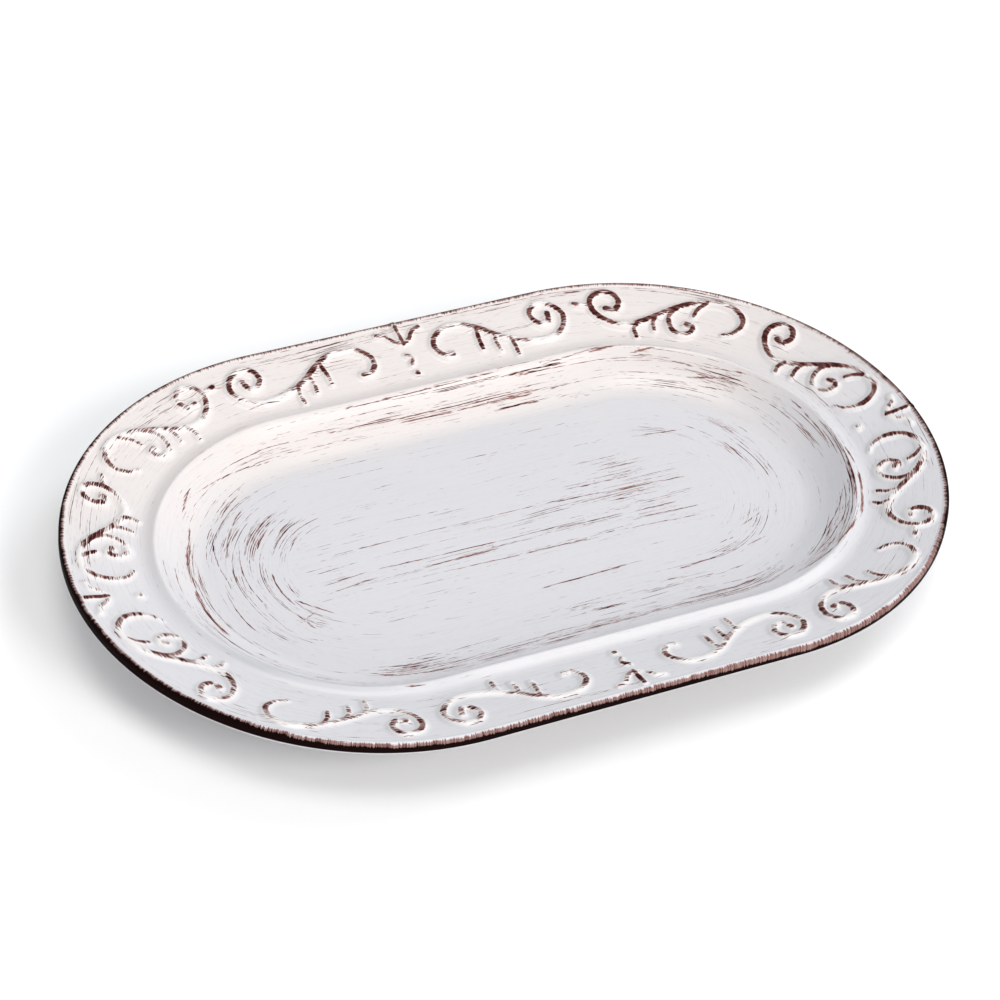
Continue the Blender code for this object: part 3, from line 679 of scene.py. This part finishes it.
def build_relief(name, node, strokes, material):
    """One sprig as a closed mesh: its upper face melts into the rim and its bed lies inside the shell."""
    lines = np.concatenate([stroke[0] for stroke in strokes])
    margin = TAIL * RIBBON_REACH
    low, high = lines.min(0) - margin, lines.max(0) + margin
    xs = np.arange(low[0], high[0], PITCH)
    ys = np.arange(low[1], high[1], PITCH)
    x, y = [grid.ravel() for grid in np.meshgrid(xs, ys, indexing="ij")]
    height, brown = relief_field(x, y, strokes)
    inside = (height > SINK * 0.1).reshape(len(xs), len(ys))
    cell = inside[:-1, :-1] & inside[1:, :-1] & inside[1:, 1:] & inside[:-1, 1:]
    cell_x, cell_y = np.nonzero(cell)
    corner = [cell_x * len(ys) + cell_y, (cell_x + 1) * len(ys) + cell_y]
    quads = np.stack([corner[0], corner[1], corner[1] + 1, corner[0] + 1], -1)
    used, index = np.unique(quads, return_inverse=True)
    quads = index.reshape(quads.shape)
    x, y, height, brown = x[used], y[used], height[used], brown[used]
    inset = inset_of(x, y)
    ground = upper_height(inset) + sway(x, y)
    count = len(used)
    top = np.stack([x, y, ground + height - SINK], -1)
    bed = np.stack([x, y, ground - BED], -1)
    ends = np.concatenate([quads[:, [0, 1]], quads[:, [1, 2]], quads[:, [2, 3]], quads[:, [3, 0]]])
    keys = {(a, b) for a, b in ends.tolist()}
    walls = [(a, a + count, b + count, b) for a, b in keys if (b, a) not in keys]
    faces = quads.tolist() + (quads[:, ::-1] + count).tolist() + sorted(walls)
    attributes = glaze_attributes(x, y, inset + NOSE_WRAP, brown)
    attributes["ridge"] = height / RIBBON_RISE
    attributes = {key: np.concatenate([values, values]) for key, values in attributes.items()}
    return add_piece(name, np.concatenate([top, bed]), faces, material, [node], attributes)


def build_scrolls(material):
    for quarter, scrolls in QUARTERS.items():
        for where, drawing, start, span, has_sprout, bareness in scrolls:

            def stroke(line, reach, rise, ends):
                return stroke_on_rim(quarter, start, span / SPAN, line, reach, rise, bareness, ends)

            strokes = [stroke(drawing["ribbon"], RIBBON_REACH, RIBBON_RISE, drawing.get("ends", SCROLL_ENDS))]
            if "hanging_curl" in drawing:
                strokes.append(stroke(drawing["hanging_curl"], CURL_REACH, RIBBON_RISE, CURL_ENDS))
            for leaf in drawing["leaves"] + ([SPROUT] if has_sprout else []):
                strokes.append(stroke(leaf, LEAF_REACH, LEAF_RISE, LEAF_ENDS))
            node = f"scroll_{quarter}_{where}"
            build_relief(f"{node}_relief", node, strokes, material)


def build_palmettes(material):
    for where, (quarter, axis, dot_inset, has_stroke, petal_bareness) in PALMETTES.items():
        petals = [
            stroke_on_rim(quarter, axis, 1, petal, LEAF_REACH, LEAF_RISE, bareness, PETAL_ENDS)
            for petal, bareness in zip(PETALS, petal_bareness)
        ]
        build_relief(f"palmette_{where}_relief", f"palmette_{where}", petals, material)
        if has_stroke:
            stroke = stroke_on_rim(quarter, axis, 1, STROKE, LEAF_REACH, LEAF_RISE, DROP_BARENESS, DROP_ENDS)
            build_relief(f"drop_stroke_{where}_relief", f"drop_stroke_{where}", [stroke], material)
        x, y = place(quarter_run(quarter, np.array([float(axis)])), np.array([dot_inset]))
        dot = (np.stack([x, y], -1), np.array([DOT_REACH]), np.array([LEAF_RISE]), DROP_BARENESS)
        build_relief(f"drop_dot_{where}_relief", f"drop_dot_{where}", [dot], material)


# ---------------- shader helpers


class Tree:
    """Short ways to add shader nodes to one material."""

    def __init__(self, name):
        self.material = bpy.data.materials.new(name)
        self.material.use_nodes = True
        self.nodes = self.material.node_tree.nodes
        self.links = self.material.node_tree.links
        self.nodes.clear()

    def set(self, socket, value):
        if isinstance(value, bpy.types.NodeSocket):
            self.links.new(value, socket)
        else:
            socket.default_value = value

    def add(self, kind, inputs=None, **settings):
        node = self.nodes.new(f"ShaderNode{kind}")
        for key, value in settings.items():
            setattr(node, key, value)
        for key, value in (inputs or {}).items():
            self.set(node.inputs[key], value)
        return node

    def attribute(self, name, output):
        return self.add("Attribute", attribute_name=name).outputs[output]

    def axes(self, vector):
        return self.add("SeparateXYZ", {"Vector": vector}).outputs

    def math(self, operation, first, second=0.0, third=0.0):
        return self.add("Math", {0: first, 1: second, 2: third}, operation=operation).outputs[0]

    def both(self, first, second):
        return self.math("MULTIPLY", first, second)

    def either(self, first, second):
        return self.math("MAXIMUM", first, second)

    def vary(self, value, noise, amount):
        """The value, moved up and down by a noise."""
        return self.math("MULTIPLY_ADD", self.math("SUBTRACT", noise, 0.5), amount, value)

    def step(self, value, low, high, start=0.0, end=1.0):
        """A smooth step of value, from start below low to end above high."""
        inputs = {"Value": value, "From Min": low, "From Max": high, "To Min": start, "To Max": end}
        return self.add("MapRange", inputs, interpolation_type="SMOOTHSTEP").outputs["Result"]

    def mix(self, factor, first, second):
        node = self.add("Mix", {"Factor": factor}, data_type="RGBA")
        for socket, value in ((node.inputs[6], first), (node.inputs[7], second)):
            self.set(socket, (*value, 1) if isinstance(value, tuple) else value)
        return node.outputs[2]

    def scaled(self, vector, scale, shift=(0, 0, 0)):
        return self.add("VectorMath", {0: vector, 1: scale, 2: shift}, operation="MULTIPLY_ADD").outputs[0]

    def noise(self, vector, scale, shift=(0, 0, 0), detail=1.0):
        inputs = {"Vector": self.scaled(vector, scale, shift), "Scale": 1.0, "Detail": detail}
        return self.add("TexNoise", inputs).outputs["Fac"]

    def streaks(self, place, along, across, shift):
        """Noise drawn out along the brush: strokes about `along` long and `across` wide, in millimetres."""
        return self.noise(place, (1 / along, 1 / along, 1 / across), shift)

    def finish(self, inputs):
        shader = self.add("BsdfPrincipled", inputs)
        self.add("OutputMaterial", {"Surface": shader.outputs[0]})
        return self.material


# ---------------- materials

# Cool and warm white: partly the glaze's own tint, partly painted light, warm at the back and cool on the
# floor and front.
COOL_WHITE = (0.568, 0.564, 0.588)
WARM_WHITE = (0.620, 0.580, 0.566)
# A lighter white for a painted highlight on the ridges.
RIDGE_HIGHLIGHT_WHITE = (0.690, 0.668, 0.655)
# A lighter white for a painted highlight along the front of the verge.
VERGE_HIGHLIGHT_WHITE = (0.665, 0.655, 0.665)
# A darker grey white for painted shade at the top of the front-left wall.
WALL_SHADE_WHITE = (0.440, 0.445, 0.470)
PALE_BROWN = (0.260, 0.135, 0.120)
MID_BROWN = (0.146, 0.061, 0.053)
DARK_BROWN = (0.036, 0.007, 0.006)
LIP_BLACK = (0.006, 0.002, 0.002)
LIP_RUBBED = (0.260, 0.165, 0.152)
CLAY = (0.50, 0.42, 0.34)
DARK_CLAY = (0.36, 0.29, 0.23)
PALE_CLAY = (0.62, 0.57, 0.50)

# Smooth steps across the platter: (direction, from, to, value before, value after). X and Y are in metres,
# and the inset is in millimetres.
ZONES = {
    "back": ("Y", -0.05, 0.12, 0, 1),
    "off_the_floor": ("inset", 58, 72, 1, 0.25),
    # The next four place the painted highlight on the front of the verge.
    "inside_flank": ("inset", 36.5, 39.5, 0, 1),
    "outside_crest": ("inset", 43, 45.5, 1, 0),
    "front_verge": ("Y", -0.09, -0.075, 0.75, 0),
    "off_left_end": ("X", -0.09, -0.04, 0, 1),
    # The next four place the painted shade at the top of the front-left wall.
    "inside_crest": ("inset", 38.5, 41, 0, 1),
    "upper_wall": ("inset", 47, 51, 1, 0),
    "front_half": ("Y", -0.06, -0.025, 0.85, 0),
    "left_end": ("X", -0.12, -0.08, 1, 0),
    "rim_strokes": ("inset", 30, 38, 0.2, 0.13),
    "lip_front": ("Y", -0.13, -0.08, 1, 0),
    "lip_left": ("X", -0.2, -0.12, 1, 0),
    "lip_right": ("X", 0.17, 0.208, 0, 1),
    "lip_right_half": ("X", -0.03, 0.1, 0, 1),
}

# Smooth steps of a mark: where it begins and where it is full.
FAINT_STROKE = (0.52, 0.68)
STREAK, STREAK_DEEP = (0.640, 0.680), (0.665, 0.740)
LINE_MARK, LINE_DEEP = (0.36, 0.62), (0.70, 1.20)
RIDGE_HATCHED, RIDGE_BARE, RIDGE_DEEP = (0.02, 0.30), (0.44, 0.54), (0.50, 0.90)
MID_TONE, DARK_TONE = (0.14, 0.72), (0.72, 1.20)
LIP_UNDER, LIP_OVER = (-1.9, -1.4), (4.5, 5.3)
LIP_WORN, LIP_FRINGE = (3.6, 4.2), (0.36, 0.60)

# The inset from which the floor is brushed straight, and how far the strokes wander sideways.
STRAIGHT_FROM = 107.0
DRIFT = 5.0


class Glaze(Tree):
    """A glaze material, with what all its parts read: where a point is, and the noises of the brush."""

    def __init__(self, name):
        super().__init__(name)
        self.brush = self.attribute("brush", "Vector")
        self.edge = self.attribute("edge", "Vector")
        self.place = self.add("TexCoord").outputs["Object"]
        axes = self.axes(self.place)
        self.where = {"X": axes["X"], "Y": axes["Y"], "inset": self.axes(self.brush)["Z"]}
        strokes = self.strokes()
        drift = self.vary(0.0, self.streaks(strokes, 70, 16, (3, 7, 1)), DRIFT)
        drift = self.add("CombineXYZ", {"Z": drift}).outputs[0]
        swayed = self.add("VectorMath", {0: strokes, 1: drift}, operation="ADD").outputs[0]
        self.lines = self.streaks(swayed, 80, 0.44, (0, 0, 0))
        self.strands = self.streaks(swayed, 24, 0.29, (11, 5, 3))
        self.dashes = self.streaks(strokes, 4.0, 0.32, (2, 9, 17))
        self.patches = self.streaks(strokes, 14, 5, (31, 12, 5))
        self.mottle = self.streaks(strokes, 40, 14, (5, 5, 5))
        self.faint = self.math("MULTIPLY_ADD", self.strands, 0.6, self.math("MULTIPLY", self.dashes, 0.4))

    def strokes(self):
        """Brush coordinates: the middle of the floor was brushed straight, the rest round with the rim.

        A straight stroke needs one coordinate less, so its second one stands still.
        """
        straight = self.add("CombineXYZ", {"X": self.where["X"], "Y": 0.3, "Z": self.where["Y"]}).outputs[0]
        straight = self.scaled(straight, (1 / MM, 1 / MM, 1 / MM))
        ragged = self.streaks(self.brush, 9, 9, (4, 4, 4))
        inset = self.math("MULTIPLY_ADD", ragged, 6.0, self.where["inset"])
        middle = self.math("GREATER_THAN", inset, STRAIGHT_FROM)
        mixed = self.add("Mix", {"Factor": middle, 4: self.brush, 5: straight}, data_type="VECTOR")
        return mixed.outputs[1]

    def zone(self, name):
        """A smooth step across the platter, from ZONES."""
        direction, *steps = ZONES[name]
        return self.step(self.where[direction], *steps)

    def zones(self, *names):
        """The product of several of them."""
        product = self.zone(names[0])
        for name in names[1:]:
            product = self.both(product, self.zone(name))
        return product

    def broken(self, value, strands, dashes, patches=0.0):
        """The value, broken up by the brush's strands, dashes and patches, each by its amount."""
        value = self.vary(value, self.strands, strands)
        value = self.vary(value, self.dashes, dashes)
        return self.vary(value, self.patches, patches) if patches else value


def white_glaze(tree):
    """White: cool at the front and warm at the back, partly the glaze's own tint and partly painted light,
    lighter on the ridges as a painted highlight, and with faint strokes in it.

    A painted highlight lies on the front of the verge, and painted shade at the top of the wall at the front
    left.
    """
    # Warm at the back, cool on the floor and front: partly the glaze's tint, partly painted warm and cool
    # light.
    glaze_tint_and_light = tree.vary(tree.zones("back", "off_the_floor"), tree.mottle, 0.5)
    white = tree.mix(tree.step(glaze_tint_and_light, 0.0, 1.0), COOL_WHITE, WARM_WHITE)
    # Painted highlight: the white grows lighter where the ridges rise.
    white = tree.mix(tree.step(tree.attribute("ridge", "Fac"), 0.10, 0.75, 0.0, 0.8), white, RIDGE_HIGHLIGHT_WHITE)
    # Painted highlight along the front of the verge.
    verge_highlight = tree.zones("inside_flank", "outside_crest", "front_verge", "off_left_end")
    white = tree.mix(verge_highlight, white, VERGE_HIGHLIGHT_WHITE)
    # Painted shade at the top of the wall at the front left.
    wall_shade = tree.zones("inside_crest", "upper_wall", "front_half", "left_end")
    white = tree.mix(wall_shade, white, WALL_SHADE_WHITE)
    faint = tree.both(tree.step(tree.faint, *FAINT_STROKE), tree.zone("rim_strokes"))
    return tree.mix(faint, white, PALE_BROWN)


def worn_streaks(tree):
    """Brown streaks where the flat glaze is worn: (how brown, how deep)."""
    grain = tree.math("MULTIPLY", tree.lines, 0.50)
    grain = tree.math("MULTIPLY_ADD", tree.strands, 0.30, grain)
    grain = tree.math("MULTIPLY_ADD", tree.dashes, 0.20, grain)
    grain = tree.vary(grain, tree.patches, 0.12)
    worn = tree.math("MULTIPLY_ADD", tree.attribute("wear", "Fac"), 0.20, grain)
    return tree.step(worn, *STREAK), tree.step(worn, *STREAK_DEEP)


def single_lines(tree):
    """Single lines, ragged at their borders, narrow or broken where they are weak: (how brown, how deep)."""
    line = tree.axes(tree.attribute("line", "Vector"))
    distance = tree.math("ABSOLUTE", tree.vary(line["X"], tree.patches, 0.7))
    off_line = tree.math("DIVIDE", distance, line["Y"])
    mark = tree.broken(tree.math("MULTIPLY_ADD", off_line, -0.9, line["Z"]), 1.8, 1.7)
    return tree.step(mark, *LINE_MARK), tree.step(mark, *LINE_DEEP)


def bare_ridges(tree):
    """Brown on the ridges, with hatched borders and gaps: (how brown, how deep)."""
    bare = tree.attribute("brown", "Fac")
    hatch = tree.broken(0.0, 1.1, 1.7, 1.2)
    bare = tree.math("ADD", bare, tree.both(hatch, tree.step(bare, *RIDGE_HATCHED)))
    return tree.step(bare, *RIDGE_BARE), tree.step(bare, *RIDGE_DEEP)


def brown_lip(tree):
    """The lip: near black outside, rubbed brown on top, fringed with short strokes: (how much, colour)."""
    across = tree.axes(tree.edge)["Z"]
    fringe = tree.streaks(tree.edge, 0.48, 7, (1, 2, 3))
    reach = tree.vary(across, fringe, 2.8)
    reach = tree.vary(reach, tree.streaks(tree.edge, 12, 4, (8, 2, 3)), 1.6)
    reach = tree.math("MULTIPLY_ADD", tree.zone("lip_right"), -0.5, reach)
    front, left = tree.zone("lip_front"), tree.zone("lip_left")
    border = tree.math("MULTIPLY_ADD", front, 1.5, tree.math("MULTIPLY_ADD", left, 0.3, reach))
    lip = tree.both(tree.step(border, *LIP_OVER, 1.0, 0.0), tree.step(across, *LIP_UNDER))
    worn = tree.math("MULTIPLY_ADD", front, 2.1, tree.math("MULTIPLY_ADD", left, 0.1, reach))
    worn = tree.math("MULTIPLY_ADD", tree.both(front, tree.zone("lip_right_half")), 1.4, worn)
    rubbed = tree.mix(tree.step(fringe, *LIP_FRINGE), MID_BROWN, LIP_RUBBED)
    return lip, tree.mix(tree.step(worn, *LIP_WORN), LIP_BLACK, rubbed)


def glaze_material(name):
    """White glaze over brown: streaks along the brush, bare ridges, and the brown lip."""
    tree = Glaze(name)
    streak, streak_deep = worn_streaks(tree)
    line, line_deep = single_lines(tree)
    ridge, ridge_deep = bare_ridges(tree)
    brown = tree.either(tree.either(streak, line), ridge)
    depth = tree.either(tree.either(streak_deep, line_deep), ridge_deep)
    tone = tree.broken(depth, 2.2, 2.2, 1.2)
    brown_colour = tree.mix(tree.step(tone, *MID_TONE), PALE_BROWN, MID_BROWN)
    brown_colour = tree.mix(tree.step(tone, *DARK_TONE), brown_colour, DARK_BROWN)
    lip, lip_colour = brown_lip(tree)
    colour = tree.mix(lip, tree.mix(brown, white_glaze(tree), brown_colour), lip_colour)

    # The brown is less glossy than the white, and lies a little lower.
    covered = tree.either(brown, lip)
    roughness = tree.vary(tree.math("MULTIPLY_ADD", covered, 0.25, 0.24), tree.mottle, 0.10)
    matt = tree.either(lip, tree.math("MULTIPLY", brown, 0.97))
    gloss = tree.math("MULTIPLY_ADD", matt, -0.49, 0.5)
    lift = tree.math("MULTIPLY_ADD", tree.faint, 0.5, tree.math("MULTIPLY", covered, -0.6))
    peel = tree.noise(tree.place, (160, 160, 160))
    lift = tree.math("MULTIPLY_ADD", peel, 0.6, lift)
    bump = tree.add("Bump", {"Strength": 0.35, "Distance": 0.1 * MM, "Height": lift}).outputs[0]
    return tree.finish({
        "Base Color": colour,
        "Roughness": roughness,
        "Normal": bump,
        "IOR": 1.5,
        "Specular IOR Level": gloss,
    })


def clay_material():
    """Bare fired clay: sandy, a little stained where the glaze was wiped off."""
    tree = Tree("bare_clay")
    place = tree.add("TexCoord").outputs["Object"]
    sand = tree.noise(place, (1600, 1600, 1600), detail=2.0)
    stain = tree.noise(place, (60, 60, 60), detail=3.0)
    colour = tree.mix(tree.step(sand, 0.35, 0.7, 0.0, 0.5), CLAY, DARK_CLAY)
    colour = tree.mix(tree.step(stain, 0.5, 0.75, 0.0, 0.4), colour, PALE_CLAY)
    bump = tree.add("Bump", {"Strength": 0.5, "Distance": 0.15 * MM, "Height": sand}).outputs[0]
    roughness = tree.step(stain, 0.3, 0.7, 0.75, 0.92)
    return tree.finish({"Base Color": colour, "Roughness": roughness, "Normal": bump})


# ---------------- stage, light and camera

# The camera's angles, its distance in metres, its lens in millimetres, and its shift aside and up in metres.
AZIMUTH = radians(-30.10)
ELEVATION = radians(40.32)
ROLL = radians(6.74)
DISTANCE = 1.6728
LENS = 132.73
SENSOR = 36
ASIDE = -0.00626
ABOVE = -0.00224

FLOOR_HALF = 6.0
FLOOR_COLOUR = (0.85, 0.85, 0.85, 1)
ROOM_COLOUR = (0.95, 0.975, 1.0, 1)
ROOM_FADE = {"From Min": 0.20, "From Max": 0.34, "To Min": 1.10, "To Max": 0.58}

# Lights: (name, degrees round the platter, degrees above it, width in degrees, strength, colour, mirrored).
LIGHTS = [
    ("overhead", 0, 90, 35, 0.93, (1.0, 0.985, 0.97), True),
    ("low_front", -101, 14, 20, 0.95, (1.0, 0.955, 0.92), True),
    ("key", -62, 34, 24, 1.41, (1.0, 0.97, 0.945), True),
    ("back_light", 20, 35, 24, 0.95, (0.92, 0.97, 1.0), False),
]


def add_camera():
    """The camera looks at the middle of the lip's plane, a little aside, and is rolled about its own axis."""
    back = Vector((sin(AZIMUTH) * cos(ELEVATION), -cos(AZIMUTH) * cos(ELEVATION), sin(ELEVATION)))
    level = Vector((cos(AZIMUTH), sin(AZIMUTH), 0))
    upright = back.cross(level)
    right = level * cos(ROLL) + upright * sin(ROLL)
    up = upright * cos(ROLL) - level * sin(ROLL)
    data = bpy.data.cameras.new("camera")
    data.lens = LENS
    data.sensor_width = SENSOR
    data.clip_start = 0.05
    data.clip_end = 50
    camera = bpy.data.objects.new("camera", data)
    turn = Matrix((right, up, back)).transposed().to_4x4()
    spot = Vector((0, 0, LIP_TOP * MM)) + right * ASIDE + up * ABOVE + back * DISTANCE
    camera.matrix_world = Matrix.Translation(spot) @ turn
    bpy.context.scene.collection.objects.link(camera)
    bpy.context.scene.camera = camera


def add_sun(name, around, height, spread, strength, colour, mirrored):
    data = bpy.data.lights.new(name, "SUN")
    data.angle = radians(spread)
    data.energy = strength
    data.color = colour
    light = bpy.data.objects.new(name, data)
    towards = Vector((cos(radians(around)), sin(radians(around)), 0)) * cos(radians(height))
    towards.z = sin(radians(height))
    light.visible_glossy = mirrored
    light.rotation_mode = "QUATERNION"
    light.rotation_quaternion = towards.to_track_quat("Z", "Y")
    bpy.context.scene.collection.objects.link(light)


def build_world():
    """A pale room: white at the level of the floor, a little darker overhead."""
    world = bpy.data.worlds.new("soft_studio")
    world.use_nodes = True
    nodes, links = world.node_tree.nodes, world.node_tree.links
    upward = nodes.new("ShaderNodeSeparateXYZ")
    links.new(nodes.new("ShaderNodeTexCoord").outputs["Generated"], upward.inputs[0])
    fade = nodes.new("ShaderNodeMapRange")
    fade.interpolation_type = "SMOOTHSTEP"
    for key, value in ROOM_FADE.items():
        fade.inputs[key].default_value = value
    links.new(upward.outputs["Z"], fade.inputs["Value"])
    links.new(fade.outputs["Result"], nodes["Background"].inputs["Strength"])
    nodes["Background"].inputs["Color"].default_value = ROOM_COLOUR
    bpy.context.scene.world = world


def build_stage():
    mesh = bpy.data.meshes.new("floor")
    corners = [(-1, -1), (1, -1), (1, 1), (-1, 1)]
    mesh.from_pydata([(x * FLOOR_HALF, y * FLOOR_HALF, 0) for x, y in corners], [], [(0, 1, 2, 3)])
    mesh.materials.append(Tree("pale_floor").finish({"Base Color": FLOOR_COLOUR, "Roughness": 0.8}))
    floor = bpy.data.objects.new("floor", mesh)
    bpy.context.scene.collection.objects.link(floor)
    build_world()
    for light in LIGHTS:
        add_sun(*light)
    bpy.context.scene.view_settings.view_transform = "Standard"


def main():
    add_camera()
    build_stage()
    build_shell(glaze_material("brushed_glaze"))
    build_band(glaze_material("lip_glaze"))
    build_foot(clay_material())
    sprig_glaze = glaze_material("sprig_glaze")
    build_scrolls(sprig_glaze)
    build_palmettes(sprig_glaze)


main()
